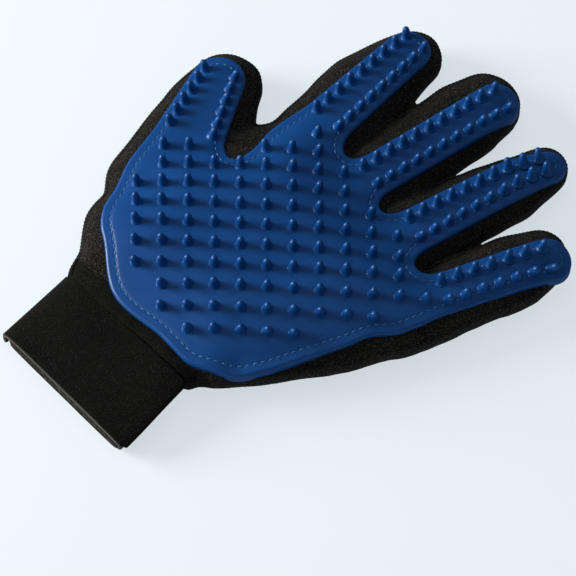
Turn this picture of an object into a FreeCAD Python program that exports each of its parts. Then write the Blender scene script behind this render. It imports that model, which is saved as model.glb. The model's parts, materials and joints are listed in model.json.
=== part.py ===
"""Five-finger grooming glove for the left hand, lying on its back with the palm up.

Frame: the origin is the centre of the wrist on the resting plane, +Y runs up the
hand to the fingertips, +X runs from the thumb side to the little-finger side, +Z is
up, out of the palm. Lengths are in millimetres, angles in degrees.

The glove is a hollow knit shell with a moulded rubber pad sewn on its palm side. The
shell and the pad bend at creases, so each digit is made of segments that meet at a
V-shaped notch. The hinge line of a crease lies just under the pad, because the
rubber doesn't stretch and the knit on the back does.
"""
import FreeCAD, Part
import math
import os

V = FreeCAD.Vector

# ---- knit shell -------------------------------------------------------------------
HAND_HEIGHT = 18.0        # thickness of the glove as it lies, lightly filled
EDGE_ROUND = 7.6          # rounding of the shell's upper and lower edges
KNIT = 1.6                # thickness of the foam-backed knit
SEAM_HEIGHT = 7.0         # height of the seam between the back and the palm fabric
SEAM_GAP = 0.1            # half of the gap left at a seam

# ---- rubber pad -------------------------------------------------------------------
PAD_THICKNESS = 2.0
PAD_GAP = 0.1             # air between the pad and the knit
PAD_BASE = HAND_HEIGHT + PAD_GAP
PAD_TOP = PAD_BASE + PAD_THICKNESS
NUB_HEIGHT = 6.0
NUB_FOOT_RADIUS = 1.45
NUB_TIP_RADIUS = 1.1
NUB_ROOT = 0.6            # how far a nub's foot reaches into the pad
PALM_NUB_PITCH = 10.4     # square lattice on the palm
PALM_NUB_TURN = 50.0      # turn of that lattice from +X
PALM_NUB_MARGIN = 6.0     # from the pad's edge to the nearest nub
DIGIT_NUB_PITCH = 6.0     # two rows along each digit
DIGIT_NUB_OFFSET = 4.6    # of each row from the digit's middle line

# ---- creases ----------------------------------------------------------------------
HINGE_HEIGHT = 16.0
CREASE_GAP = 0.15         # half of the gap between two segments at the hinge line
CREASE_SPARE = 1.0        # extra opening of a notch beyond the joint's limit
TOP_CUT = 32.0            # notches are cut up to here, above the nubs
LOW_CUT = -3.0            # and down to here, below the shell

# Each digit: place of its base crease, turn from +Y towards +X, length from that
# crease to the tip, radii of the shell at its root and tip, radii of the pad there,
# depth of the root behind the crease, and the places of the creases along it.
DIGITS = {
    "thumb": dict(at=(-52.3, 70.8), turn=-30.6, length=40.0, shell=(18.5, 15.8),
                  pad=(20.5, 11.0), root=24.0, pad_root=50.0, creases=(0.0, 17.0)),
    "index": dict(at=(-23.6, 121.0), turn=-8.5, length=54.0, shell=(14.5, 15.0),
                  pad=(11.0, 9.8), root=26.0, pad_root=24.0, creases=(0.0, 20.0, 36.5)),
    "middle": dict(at=(8.3, 121.0), turn=2.5, length=66.5, shell=(14.8, 15.3),
                   pad=(10.2, 10.2), root=26.0, pad_root=24.0, creases=(0.0, 25.0, 45.5)),
    "ring": dict(at=(39.8, 115.0), turn=10.0, length=68.0, shell=(14.5, 14.8),
                 pad=(10.0, 9.8), root=26.0, pad_root=24.0, creases=(0.0, 25.5, 46.5)),
    "little": dict(at=(68.0, 106.0), turn=17.5, length=54.0, shell=(13.6, 14.3),
                   pad=(10.0, 9.2), root=24.0, pad_root=26.0, creases=(0.0, 20.0, 36.5)),
}
TIP_MARGIN = 5.0          # from the pad's tip to the shell's tip
SEGMENTS = ("proximal", "middle", "distal")
# Limits of each crease: how far it curls towards the palm and how far it bends back.
FINGER_CURL = (50.0, 50.0, 33.0)
THUMB_CURL = (40.0, 45.0)
BEND_BACK = (15.0, 0.0, 0.0)

# ---- palm: outlines are hulls of circles (x, y, radius), in counter-clockwise order -
PALM_SHELL = [(-23, 13, 13), (24, 15, 13), (37, 33, 18), (63, 88, 14.5),
              (-20, 96, 15.5), (-45, 53, 17), (-37, 24, 18)]
PALM_PAD = [(-18, 25, 23.5), (28, 26, 21.5), (57, 88, 12), (-19, 100, 11.5)]

# ---- cuff and strap, in the cuff's own frame: +Y towards the palm --------------------
WRIST_AT = (0.0, -3.0)    # centre of the wrist crease
CUFF_TURN = 7.0           # the cuff leans towards the little-finger side
CUFF_WIDTH = 70.0
CUFF_HEIGHT = 13.0
CUFF_LENGTH = 41.0
CUFF_ROUND = 5.6
NECK_LENGTH = 22.0        # how far the wrist tube reaches into the palm
WRIST_BEND = 30.0         # each way
HEM_LENGTH = 3.0
HEM_WALL = 2.4
ELASTIC = dict(width=48.0, length=8.0, thickness=1.0, at=-14.0)
STRAP_LENGTH = 36.0       # along the cuff
STRAP_START = -3.2        # its edge nearest the palm
STRAP_THICKNESS = 2.0
FASTENER_THICKNESS = 0.8  # of the hook patch and of the loop patch
LAYER_GAP = 0.05
STRAP_ANCHOR_X = -34.0    # sewn end of the strap
STRAP_HINGE_X = -30.0     # where the free part starts
TAB_HINGE_X = 0.0         # where the pull tab starts
STRAP_END_X = 34.0
PATCH_MARGIN = 2.0        # from the tab's hinge to the hook patch
PATCH_END_X = 29.0
STRAP_CORNER = 3.0        # rounding of the pull tab's corners
STITCH_LENGTH = 2.2
STITCH_PITCH = 3.1
STITCH_RADIUS = 0.3
STITCH_LIFT = 0.25        # air under a stitch, which spans the pad's slight slope
STITCH_INSET = 3.8        # from the pad's edge to its stitch line
STITCH_TOP = 60.0         # the modelled run of stitches ends here on the little-finger side
STITCH_TOP_THENAR = 14.0  # and here on the thumb side, where the pad runs on to the thumb


# ---- plane geometry -----------------------------------------------------------------
def hull_face(circles, grow=0.0):
    """Flat face bounded by the tangents and arcs around circles in convex order."""
    edges = []
    normals = []
    count = len(circles)
    for i in range(count):
        x0, y0, r0 = circles[i]
        x1, y1, r1 = circles[(i + 1) % count]
        span = V(x1 - x0, y1 - y0, 0)
        slip = (r0 - r1) / span.Length
        along = span / span.Length
        side = V(along.y, -along.x, 0)
        normals.append(side * math.sqrt(1 - slip * slip) + along * slip)
    for i in range(count):
        x, y, r = circles[i]
        centre = V(x, y, 0)
        r += grow
        n_in = normals[i - 1]
        n_out = normals[i]
        start = math.atan2(n_in.y, n_in.x)
        sweep = (math.atan2(n_out.y, n_out.x) - start) % (2 * math.pi)
        middle = V(math.cos(start + sweep / 2), math.sin(start + sweep / 2), 0)
        edges.append(Part.Arc(centre + n_in * r, centre + middle * r, centre + n_out * r).toShape())
        x1, y1, r1 = circles[(i + 1) % count]
        edges.append(Part.makeLine(centre + n_out * r, V(x1, y1, 0) + n_out * (r1 + grow)))
    return Part.Face(Part.Wire(edges))


def puffed(circles, grow=0.0):
    """Hull of circles as a slab with rounded edges, grown evenly on all sides."""
    slab = hull_face(circles, grow).extrude(V(0, 0, HAND_HEIGHT + 2 * grow))
    slab.translate(V(0, 0, -grow))
    levels = (-grow, HAND_HEIGHT + grow)
    rims = [e for e in slab.Edges if flat_at(e, levels)]
    return slab.makeFillet(EDGE_ROUND + grow, rims)


def flat_at(edge, levels):
    box = edge.BoundBox
    return box.ZLength < 1e-6 and any(abs(box.ZMin - level) < 1e-6 for level in levels)


def placed(shape, at, turn):
    """Copy of a shape moved from a digit's or the cuff's own frame to the glove's."""
    copy = shape.copy()
    copy.Placement = FreeCAD.Placement(V(at[0], at[1], 0), FreeCAD.Rotation(V(0, 0, 1), turn))
    return copy


def side_prism(profile, half_width):
    """Prism across the hand from a profile of (along, height) points."""
    points = [V(-half_width, s, z) for s, z in profile]
    face = Part.Face(Part.makePolygon(points + points[:1]))
    return face.extrude(V(2 * half_width, 0, 0))


# ---- creases --------------------------------------------------------------------------
def crease_side(along, curl, back, sign):
    """Three (along, height) points on one side of a crease, from the top down."""
    rise = TOP_CUT - HINGE_HEIGHT
    drop = HINGE_HEIGHT - LOW_CUT
    top = along + sign * (CREASE_GAP + rise * tangent(curl))
    bottom = along + sign * (CREASE_GAP + drop * tangent(back))
    return [(top, TOP_CUT), (along + sign * CREASE_GAP, HINGE_HEIGHT), (bottom, LOW_CUT)]


def tangent(limit):
    return math.tan(math.radians((limit + CREASE_SPARE) / 2)) if limit else 0.0


def curls(name):
    return THUMB_CURL if name == "thumb" else FINGER_CURL


def segment_region(name, index):
    """The space of one segment of a digit, in the digit's frame."""
    digit = DIGITS[name]
    creases = digit["creases"]
    near = crease_side(creases[index], curls(name)[index], BEND_BACK[index], 1)
    if index + 1 < len(creases):
        far = crease_side(creases[index + 1], curls(name)[index + 1], BEND_BACK[index + 1], -1)
    else:
        end = digit["length"] + 10
        far = [(end, TOP_CUT), (end, LOW_CUT)]
    return side_prism(near + far[::-1], 30)


def beyond_base(name):
    """Everything past a digit's base crease, as wide as the digit, in the glove's frame."""
    digit = DIGITS[name]
    near = crease_side(0.0, curls(name)[0], BEND_BACK[0], -1)
    end = digit["length"] + 20
    half_width = max(digit["shell"]) - 0.6 if name == "thumb" else max(digit["shell"]) + 0.4
    region = side_prism(near + [(end, LOW_CUT), (end, TOP_CUT)], half_width)
    return placed(region, digit["at"], -digit["turn"])


def nub_clearance(curl):
    """Distance from a crease at which the nubs of both sides just don't meet."""
    reach = PAD_TOP + NUB_HEIGHT - HINGE_HEIGHT
    half = math.radians(curl / 2)
    return (reach * math.sin(half) + NUB_FOOT_RADIUS) / math.cos(half) + 0.3


# ---- the pieces of the hand ---------------------------------------------------------------
def shell_circles(name):
    digit = DIGITS[name]
    root_radius, tip_radius = digit["shell"]
    return [(0, -digit["root"], root_radius), (0, digit["length"] - tip_radius, tip_radius)]


def pad_circles(name):
    digit = DIGITS[name]
    root_radius, tip_radius = digit["pad"]
    tip = digit["length"] - TIP_MARGIN - tip_radius
    return [(0, -digit["pad_root"], root_radius), (0, tip, tip_radius)]


def digit_body(name, grow):
    return puffed(shell_circles(name), grow)


def in_hand(name, shape):
    digit = DIGITS[name]
    return placed(shape, digit["at"], -digit["turn"])


def wrist_tube(start, end, grow, width=CUFF_WIDTH):
    """Flattened tube of the cuff between two places along it, in the cuff's frame."""
    box = Part.makeBox(width + 2 * grow, end - start, CUFF_HEIGHT + 2 * grow,
                       V(-width / 2 - grow, start, -grow))
    long_edges = [e for e in box.Edges if e.BoundBox.YLength > (end - start) / 2]
    return box.makeFillet(CUFF_ROUND + grow, long_edges)


def in_wrist(shape):
    return placed(shape, WRIST_AT, CUFF_TURN)


def hand_body(grow):
    """Palm, digit roots and wrist neck as one rounded form."""
    body = puffed(PALM_SHELL, grow)
    roots = [in_hand(name, digit_body(name, grow)) for name in DIGITS]
    neck = in_wrist(wrist_tube(0, NECK_LENGTH, grow))
    return body.fuse(roots + [neck])


def split_at_seam(shell):
    """Palm-side and back-side fabric of a hollow piece of the shell."""
    size = 400
    above = Part.makeBox(size, size, size, V(-size / 2, -size / 2, SEAM_HEIGHT + SEAM_GAP))
    below = Part.makeBox(size, size, size, V(-size / 2, -size / 2, SEAM_HEIGHT - SEAM_GAP - size))
    return shell.common(above), shell.common(below)


def nub(x, y):
    """One round-tipped nub with a slightly flared foot."""
    shoulder = PAD_TOP + NUB_HEIGHT - NUB_TIP_RADIUS
    stem = Part.makeCone(NUB_FOOT_RADIUS, NUB_TIP_RADIUS, shoulder - PAD_TOP + NUB_ROOT,
                         V(x, y, PAD_TOP - NUB_ROOT))
    return stem.fuse(Part.makeSphere(NUB_TIP_RADIUS, V(x, y, shoulder)))


def digit_nub_places(name, index):
    """Places of the nubs of one segment, in the digit's frame."""
    digit = DIGITS[name]
    creases = digit["creases"]
    low = creases[index] + nub_clearance(curls(name)[index])
    if index + 1 < len(creases):
        high = creases[index + 1] - nub_clearance(curls(name)[index + 1])
    else:
        high = digit["length"] - TIP_MARGIN - PALM_NUB_MARGIN
    count = int((high - low) // DIGIT_NUB_PITCH) + 1
    spare = (high - low) - (count - 1) * DIGIT_NUB_PITCH
    return [(side * DIGIT_NUB_OFFSET, low + spare / 2 + i * DIGIT_NUB_PITCH)
            for i in range(count) for side in (-1, 1)]


def palm_nub_places():
    """Lattice points that lie on the palm and clear of the base creases."""
    field = hull_face(PALM_PAD, -PALM_NUB_MARGIN)
    thenar = in_hand("thumb", hull_face(pad_circles("thumb"), -PALM_NUB_MARGIN))
    turn = math.radians(PALM_NUB_TURN)
    places = []
    for i in range(-14, 15):
        for j in range(-14, 15):
            u = i * PALM_NUB_PITCH
            w = j * PALM_NUB_PITCH
            x = u * math.cos(turn) - w * math.sin(turn)
            y = 60 + u * math.sin(turn) + w * math.cos(turn)
            point = V(x, y, 0)
            inside = field.isInside(point, 1e-3, True) or thenar.isInside(point, 1e-3, True)
            if inside and all(behind_base(name, x, y) for name in DIGITS):
                places.append((x, y))
    return places


def behind_base(name, x, y):
    """Whether a palm nub keeps clear of a digit's base crease."""
    digit = DIGITS[name]
    turn = math.radians(digit["turn"])
    dx = x - digit["at"][0]
    dy = y - digit["at"][1]
    along = dx * math.sin(turn) + dy * math.cos(turn)
    across = dx * math.cos(turn) - dy * math.sin(turn)
    wide = abs(across) > max(digit["shell"]) + NUB_FOOT_RADIUS
    return wide or along < -nub_clearance(curls(name)[0])


def build_palm(parts):
    outer = hand_body(0.0)
    inner = hand_body(-KNIT)
    fabric = outer.cut([inner, in_wrist(wrist_tube(-5, NECK_LENGTH, -KNIT))])
    wrist_notch = in_wrist(wrist_side(1))
    cutters = [beyond_base(name) for name in DIGITS] + [wrist_notch]
    fabric = fabric.cut(cutters)
    parts["palm_panel"], parts["back_panel"] = split_at_seam(fabric)

    layer = hand_body(PAD_GAP + PAD_THICKNESS).cut(hand_body(PAD_GAP))
    outlines = [hull_face(PALM_PAD)] + [in_hand(n, hull_face(pad_circles(n))) for n in DIGITS]
    prisms = [upright(face) for face in outlines]
    sheet = layer.common(prisms[0].fuse(prisms[1:])).cut(cutters)
    parts["palm_pad"] = sheet.fuse([nub(x, y) for x, y in palm_nub_places()]).removeSplitter()


def upright(face):
    """Prism from the seam to above the pad over a flat outline."""
    prism = face.extrude(V(0, 0, TOP_CUT - SEAM_HEIGHT))
    prism.translate(V(0, 0, SEAM_HEIGHT + 2))
    return prism


def build_digit(parts, name):
    outer = digit_body(name, 0.0)
    tube = outer.cut(digit_body(name, -KNIT))
    layer = digit_body(name, PAD_GAP + PAD_THICKNESS).cut(digit_body(name, PAD_GAP))
    sheet = layer.common(upright(hull_face(pad_circles(name))))
    for index in range(len(DIGITS[name]["creases"])):
        segment = SEGMENTS[index] if name != "thumb" else ("proximal", "distal")[index]
        region = segment_region(name, index)
        palm_side, back_side = split_at_seam(tube.common(region))
        nubs = [nub(x, y) for x, y in digit_nub_places(name, index)]
        pad = sheet.common(region).fuse(nubs).removeSplitter()
        label = name + "_" + segment
        parts[label + "_pad"] = in_hand(name, pad)
        parts[label + "_palm_fabric"] = in_hand(name, palm_side)
        parts[label + "_back_fabric"] = in_hand(name, back_side)


def build_stitching(parts):
    """Lockstitch that holds the pad to the palm panel around the heel of the hand."""
    outline = hull_face(PALM_PAD, -STITCH_INSET).OuterWire
    pad = parts["palm_pad"]
    stitches = []
    points = outline.discretize(Distance=STITCH_PITCH)
    for a, b in zip(points, points[1:]):
        along = (b - a).normalize()
        middle = (a + b) / 2
        if middle.y > STITCH_TOP or middle.x < 0 and middle.y > STITCH_TOP_THENAR:
            continue
        reach = along * (STITCH_LENGTH / 2)
        highest = max(height_of(pad, middle + reach * k) for k in (-1, 0, 1))
        start = V(middle.x, middle.y, highest + STITCH_RADIUS + STITCH_LIFT) - reach
        stitches.append(Part.makeCylinder(STITCH_RADIUS, STITCH_LENGTH, start, along))
    parts["pad_stitching"] = Part.makeCompound(stitches)


def height_of(shape, point):
    """Height of a shape's top under a point of the plan."""
    ray = Part.makeLine(V(point.x, point.y, SEAM_HEIGHT), V(point.x, point.y, TOP_CUT))
    return shape.common(ray).BoundBox.ZMax


# ---- the cuff and its strap ------------------------------------------------------------------
def wrist_side(sign):
    """Space on the far side of the wrist notch: +1 cuts the palm, -1 cuts the cuff."""
    middle = CUFF_HEIGHT / 2
    slope = math.tan(math.radians((WRIST_BEND + CREASE_SPARE) / 2))
    top = sign * (CREASE_GAP + (TOP_CUT - middle) * slope)
    bottom = sign * (CREASE_GAP + (middle - LOW_CUT) * slope)
    far = -sign * 120
    profile = [(top, TOP_CUT), (sign * CREASE_GAP, middle), (bottom, LOW_CUT),
               (far, LOW_CUT), (far, TOP_CUT)]
    return side_prism(profile, 60)


def build_cuff(parts):
    hem_start = -CUFF_LENGTH + HEM_LENGTH
    tube = wrist_tube(hem_start, 2, 0).cut(wrist_tube(hem_start - 1, 3, -KNIT))
    tube = tube.cut(wrist_side(-1))
    seam = CUFF_HEIGHT / 2
    above = Part.makeBox(200, 200, 100, V(-100, -100, seam + SEAM_GAP))
    below = Part.makeBox(200, 200, 100, V(-100, -100, seam - SEAM_GAP - 100))
    parts["cuff_palm_panel"] = in_wrist(tube.common(above))
    parts["cuff_back_panel"] = in_wrist(tube.common(below))

    hem = wrist_tube(-CUFF_LENGTH, hem_start - LAYER_GAP, 0)
    parts["cuff_hem"] = in_wrist(hem.cut(wrist_tube(-CUFF_LENGTH - 1, hem_start + 1, -HEM_WALL)))

    band = Part.makeBox(ELASTIC["width"], ELASTIC["length"], ELASTIC["thickness"],
                        V(-ELASTIC["width"] / 2, ELASTIC["at"], KNIT + LAYER_GAP))
    parts["wrist_elastic"] = in_wrist(band)


def strap_block(x0, x1, z0, z1):
    """Flat length of the strap between two places across the cuff."""
    end = STRAP_START - STRAP_LENGTH
    return Part.makeBox(x1 - x0, STRAP_LENGTH, z1 - z0, V(x0, end, z0))


def build_strap(parts):
    loop_base = CUFF_HEIGHT + LAYER_GAP
    hook_base = loop_base + FASTENER_THICKNESS + LAYER_GAP
    strap_base = hook_base + FASTENER_THICKNESS + LAYER_GAP
    strap_top = strap_base + STRAP_THICKNESS
    gap = LAYER_GAP / 2
    patch = (TAB_HINGE_X + PATCH_MARGIN, PATCH_END_X)
    loop = strap_block(*patch, loop_base, loop_base + FASTENER_THICKNESS)
    hook = strap_block(*patch, hook_base, hook_base + FASTENER_THICKNESS)
    anchor = strap_block(STRAP_ANCHOR_X, STRAP_HINGE_X - gap, loop_base, strap_top)
    inner = strap_block(STRAP_HINGE_X + gap, TAB_HINGE_X - gap, strap_base, strap_top)
    outer = strap_block(TAB_HINGE_X + gap, STRAP_END_X, strap_base, strap_top)
    corners = [e for e in outer.Edges
               if e.BoundBox.ZLength > STRAP_THICKNESS / 2 and e.BoundBox.XMin > PATCH_END_X]
    outer = outer.makeFillet(STRAP_CORNER, corners)
    parts["loop_patch"] = in_wrist(loop)
    parts["hook_patch"] = in_wrist(hook)
    parts["strap_anchor"] = in_wrist(anchor)
    parts["strap_inner_flap"] = in_wrist(inner)
    parts["strap_outer_flap"] = in_wrist(outer)


def main():
    parts = {}
    build_palm(parts)
    for name in DIGITS:
        build_digit(parts, name)
    build_stitching(parts)
    build_cuff(parts)
    build_strap(parts)
    os.makedirs("parts", exist_ok=True)
    for label, shape in parts.items():
        shape.exportStep("parts/" + label + ".step")
        print(label, len(shape.Solids), round(shape.Volume, 1), shape.isValid())


main()
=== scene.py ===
"""Looks of the grooming glove: knit shell, rubber pad with nubs, cuff and strap.

Lengths in this script are millimetres in the glove's own frame (+Y up the hand, +X to
the little-finger side, +Z out of the palm) until a mesh is made, which is in metres.
"""
import json
import math
import random

import bpy
import numpy as np
from mathutils import noise, Matrix, Vector
from mathutils.bvhtree import BVHTree
from mathutils.geometry import delaunay_2d_cdt


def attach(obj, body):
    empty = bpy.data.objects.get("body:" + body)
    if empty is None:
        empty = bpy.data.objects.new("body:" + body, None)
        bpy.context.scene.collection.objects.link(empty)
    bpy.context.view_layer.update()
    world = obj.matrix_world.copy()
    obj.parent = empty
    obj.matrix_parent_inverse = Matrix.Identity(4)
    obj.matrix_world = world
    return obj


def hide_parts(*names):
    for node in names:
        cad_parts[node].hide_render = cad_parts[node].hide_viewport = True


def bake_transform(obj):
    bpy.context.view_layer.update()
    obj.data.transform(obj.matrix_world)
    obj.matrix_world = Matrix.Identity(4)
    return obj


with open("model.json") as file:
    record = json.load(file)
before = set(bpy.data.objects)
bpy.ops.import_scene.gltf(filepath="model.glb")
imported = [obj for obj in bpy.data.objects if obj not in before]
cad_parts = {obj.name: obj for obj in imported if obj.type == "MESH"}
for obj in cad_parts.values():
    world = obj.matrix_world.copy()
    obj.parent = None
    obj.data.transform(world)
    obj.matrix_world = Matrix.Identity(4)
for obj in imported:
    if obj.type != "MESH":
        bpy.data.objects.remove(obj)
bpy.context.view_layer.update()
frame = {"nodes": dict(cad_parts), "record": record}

MM = 0.001
RNG = random.Random(7)

# ---- measures of the soft parts ----------------------------------
DIGIT_NAMES = ("thumb", "index", "middle", "ring", "little")
# Circles of each digit's knit tube from root to tip, as (across, along, radius) in its own frame.
SHELL_CIRCLES = {"thumb": ((-5.0, -26, 24.4), (-0.6, 14, 19.4), (0.7, 27.2, 15.8)),
                 "index": ((-2.4, -26, 16.8), (-2.0, 18, 17.9), (1.4, 42.8, 13.0)),
                 "middle": ((-0.2, -26, 14.6), (-2.5, 40, 17.0), (-2.6, 51.2, 15.1)),
                 "ring": ((-4.4, -26, 16.6), (-3.5, 24, 14.4), (-2.6, 40, 13.5), (-3.9, 57.4, 9.7)),
                 "little": ((0.9, -26, 14.9), (-2.7, 26, 15.4), (-4.9, 37.8, 12.1))}
PALM_SHELL = [(-28.5, 12.3, 16.3), (25.5, 18, 15.6), (35.5, 34, 16.9), (50, 60, 16.6), (63, 88, 14.2),
              (-22, 97, 17), (-43.2, 53, 15.6), (-36.2, 24, 19.0)]
# Stations of the wrist's knit tube, as (place along the wrist, half width, bottom, top).
NECK_STATIONS = ((16.0, 38.8, 0.5, 18.8), (6.0, 37.2, 0.6, 18.0), (0.4, 35.9, 0.7, 17.5),
                 (-1.0, 35.5, 0.8, 17.2), (-2.2, 31.4, 1.8, 13.0), (-12.0, 29.6, 2.4, 9.8))
CUFF_MIDDLE = -1.8                      # the cuff's middle, across the wrist
SHELL_MID = 9.0                         # height of the shell's widest line
SHELL_TOP = 9.6                         # half-thickness above that line
SHELL_BOTTOM = 8.6                      # and below it
PALM_REACH = 12.5                       # how far in the rounded side of the palm reaches
DIGIT_REACH = 13.5                      # and that of a digit
VOXEL = 1.7                             # size of the remeshed shell's faces
GROUND_GAP = 0.3                        # the cloth comes no closer to the ground than this
PALM_CROWN = 4.2                        # extra swell of the palm
CROWN_REACH = 34.0
WRINKLE_SCALE = 0.055                   # the cloth's slow waves, per millimetre
WRINKLE_DEPTH = 0.75
SEAM_LEVEL = 12.6                       # height of the side seam
SEAM_STEP = 0.8
SEAM_PROFILE = ((1.5, -0.9), (1.0, 0.05), (0.45, 0.62), (-0.2, 0.8), (-0.8, 0.45), (-1.3, -0.3))

# Circles of each digit's part of the pad, in the same way.
PAD_CIRCLES = {"thumb": ((-3.2, -24, 16.5), (-1.6, 25.5, 11.3)),
               "index": ((-1.5, -24, 11.2), (0.5, 41.5, 9.5)),
               "middle": ((-0.6, -24, 9.4), (2.1, 53.5, 9.3)),
               "ring": ((-1.1, -24, 9.9), (-3.7, 42, 8.5), (-1.7, 58, 6.7)),
               "little": ((-0.5, -26, 9.1), (-0.2, 40.5, 8.9))}
PALM_PAD = [(-10, 21.2, 19.9), (22, 20.3, 16.8), (30.5, 26.5, 16.9), (35, 33.2, 15.9),
            (47, 62, 14.4), (55.8, 86, 11.2), (-19, 100, 11.5)]
HEEL_PAD = [(-10, 21.2, 19.9), (-37.8, 50.2, 19.3), (-29.4, 31.6, 21.9)]
CROTCH_BLEND = 9.5                      # rounding where two parts of the pad meet

NUB_HEIGHT = 6.0
PALM_NUB_ORIGIN = (-19.3, 53.7)
PALM_NUB_STEPS = ((6.93, 7.71), (7.18, -5.6))
PALM_LAST_ROW = 6                       # the lattice's last row, towards the little finger's side
# Places of the lattice that stay smooth.
PALM_NUB_GAPS = ((4, 6), (-3, 4), (3, -4), (-3, -2), (-1, -4), (7, 5), (-4, 1))
PALM_NUB_RANGE = 14                     # the lattice is tried this many steps each way
NUB_EDGE_ROOM = 3.3                     # least distance of a palm nub from the pad's edge
NUB_ROW_ROOM = 6.4                      # and from the nubs of a digit
NUB_ZONE = 14                           # the lattice stays this far from a digit's middle
NUB_ZONE_START = 2                      # from this far past the digit's first pair
NUB_WOBBLE = 0.02
# Two rows of nubs on each digit, as (place of the last pair, pitch, number of pairs).
DIGIT_NUBS = {"thumb": (28.0, 5.8, 6), "index": (45.6, 6.4, 9), "middle": (55.5, 6.45, 11),
              "ring": (54.8, 6.6, 10), "little": (38.7, 7.2, 7)}
NUB_ROW_INSET = 4.9
NUB_ROW_LEAST = 2.9                     # the rows come no closer than this to the digit's middle
NUB_LEAN = {"ring": (30.0, 55.0, 0.5)}  # the nubs lean sideways from one place to another, by this much

OWNER_MARGIN = 4.0                      # a point this far outside a digit's tube is still its own
TUCK_DEPTH = 0.7                        # the seam allowance lies this far inside the cloth
PALM_ALLOWANCE = 3.0                    # and reaches this far under the palm's cloth
THUMB_WEB_MARGIN = 3.0                  # this much of the web next to the thumb stays with the palm
WEB_LEAST_DEPTH = -1.0                  # past the web, where two digits part, there is no allowance
WEB_ALLOWANCE = 8.0                     # and half as far as this under the next digit's
PIECE_START = -6.5                      # a digit's pieces start this far before its crease
WRIST_CUTS = (6.0, -11.5)               # the wrist's knit piece, along the wrist
BLEND_START = -5.0
BLEND_END = 7.0
BLEND_HALF = 6.0                        # half of the bending length at the other creases


# ---- what the frame gives ----------------------------------------
def joint(name):
    return next(j for j in frame["record"]["behaviour"]["joints"] if j["name"] == name)


def flat(vector):
    return np.array([vector[0], vector[1]], float)


class Digit:
    """Place, direction, creases and tip of a digit, read from the frame."""

    def __init__(self, name):
        self.name = name
        thumb = name == "thumb"
        self.segments = ("proximal", "distal") if thumb else ("proximal", "middle", "distal")
        curls = ("base_curl", "tip_curl") if thumb else ("base_curl", "middle_curl", "tip_curl")
        joints = [joint(f"{name}_{curl}") for curl in curls]
        axis = joints[0]["axis"]
        self.across = flat(axis)
        self.along = np.array([-axis[1], axis[0]], float)
        self.at = flat(joints[0]["pos_m"]) / MM
        self.creases = [float((flat(j["pos_m"]) / MM - self.at) @ self.along) for j in joints]
        self.hinge_height = joints[0]["pos_m"][2] / MM
        tip_node = frame["nodes"][f"{name}_distal_palm_fabric"]
        points = np.array([v.co[:2] for v in tip_node.data.vertices]) / MM
        self.length = float(((points - self.at) @ self.along).max())
        self.bodies = ["palm"] + [f"{name}_{segment}" for segment in self.segments]

    def local(self, points):
        """(across, along) of points given in the glove's frame."""
        offset = np.asarray(points, float)[..., :2] - self.at
        return offset @ self.across, offset @ self.along

    def world(self, across, along):
        return self.at + self.across * across + self.along * along

    def cuts(self):
        """Where one piece of the digit ends and the next one starts, along the digit."""
        ends = [(a + b) / 2 for a, b in zip(self.creases, self.creases[1:])]
        return [PIECE_START] + ends + [1e6]


DIGITS = {name: Digit(name) for name in DIGIT_NAMES}
WRIST = joint("wrist_bend")
WRIST_AT = flat(WRIST["pos_m"]) / MM
WRIST_X = -flat(WRIST["axis"])
WRIST_Y = np.array([-WRIST_X[1], WRIST_X[0]])


def wrist_point(x, along, z):
    """A place given across and along the wrist, in the glove's frame."""
    spot = WRIST_AT + WRIST_X * x + WRIST_Y * along
    return (spot[0], spot[1], z)


# ---- outlines ----------------------------------------------------
def tangent_normal(a, b):
    """Outward normal of the line that touches two circles on the right of their direction."""
    span = np.array([b[0] - a[0], b[1] - a[1]], float)
    length = math.hypot(*span)
    slip = (a[2] - b[2]) / length
    side = np.array([span[1], -span[0]]) / length
    return side * math.sqrt(1 - slip * slip) + span / length * slip


def outer_circles(circles):
    """Leave out the circles that lie inside the hull of their two neighbours."""
    kept = list(circles)
    k = 0
    while k < len(kept) and len(kept) > 2:
        before, this, after = kept[k - 1], kept[k], kept[(k + 1) % len(kept)]
        if before != after:
            normal = tangent_normal(before, after)
            line = normal @ before[:2] + before[2]
            if normal @ this[:2] + this[2] < line + 1e-6:
                del kept[k]
                k = max(k - 1, 0)
                continue
        k += 1
    return kept


def hull_outline(circles, step=1.0, inset=0.0):
    """Points round the convex hull of circles given in counter-clockwise order."""
    points = []
    circles = outer_circles(circles)
    count = len(circles)
    normals = [tangent_normal(circles[i], circles[(i + 1) % count]) for i in range(count)]
    for i in range(count):
        x, y, r = circles[i]
        r = max(r - inset, 0.2)
        start = math.atan2(normals[i - 1][1], normals[i - 1][0])
        sweep = (math.atan2(normals[i][1], normals[i][0]) - start) % (2 * math.pi)
        if sweep > 1.6 * math.pi:
            sweep = 0.0
        arc_steps = max(2, int(sweep * circles[i][2] / step))
        for k in range(arc_steps + 1):
            angle = start + sweep * k / arc_steps
            points.append((x + r * math.cos(angle), y + r * math.sin(angle)))
        x1, y1, r1 = circles[(i + 1) % count]
        r1 = max(r1 - inset, 0.2)
        a = np.array([x, y]) + normals[i] * r
        b = np.array([x1, y1]) + normals[i] * r1
        line_steps = max(1, int(math.hypot(x1 - x, y1 - y) / step))
        for k in range(1, line_steps):
            points.append(tuple(a + (b - a) * k / line_steps))
    return np.array(points)


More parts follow.
